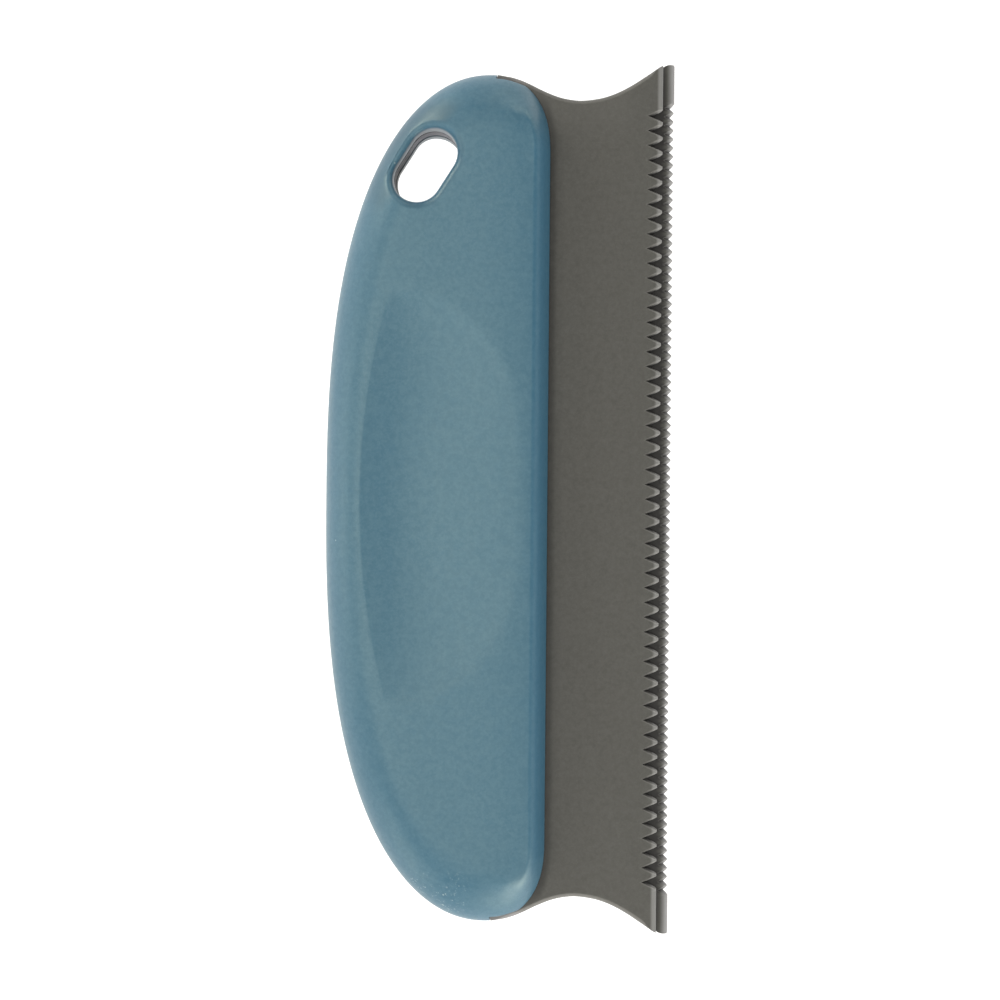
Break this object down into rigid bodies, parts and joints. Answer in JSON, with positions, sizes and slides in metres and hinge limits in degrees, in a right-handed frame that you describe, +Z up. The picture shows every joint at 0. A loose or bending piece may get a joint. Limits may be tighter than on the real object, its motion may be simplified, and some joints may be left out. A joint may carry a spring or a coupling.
{
  "type": "pet hair rake",
  "caption": "Rigid hand rake for gathering pet hair from upholstery: curved two-shell palm handle with hang slot, clamping a flat blade with coarse and fine toothed lips.",
  "frame": {"origin": "centre of the rake's outline, on the surface that its rear cover lies on", "axes": "+X from the palm side of the handle to the teeth, +Y along the rake towards the hang slot, +Z up out of the front cover"},
  "size_m": [0.0616, 0.1546, 0.016],
  "materials": {
    "cover_shell": "soft matt, very fine moulded grain, slate blue",
    "blade_rubber": "dead matt dark warm grey, lighter where edges are thin"
  },
  "bodies": {
    "root": {"front_cover": "cover_shell", "rear_cover": "cover_shell", "blade": "blade_rubber"}
  },
  "joints": []
}
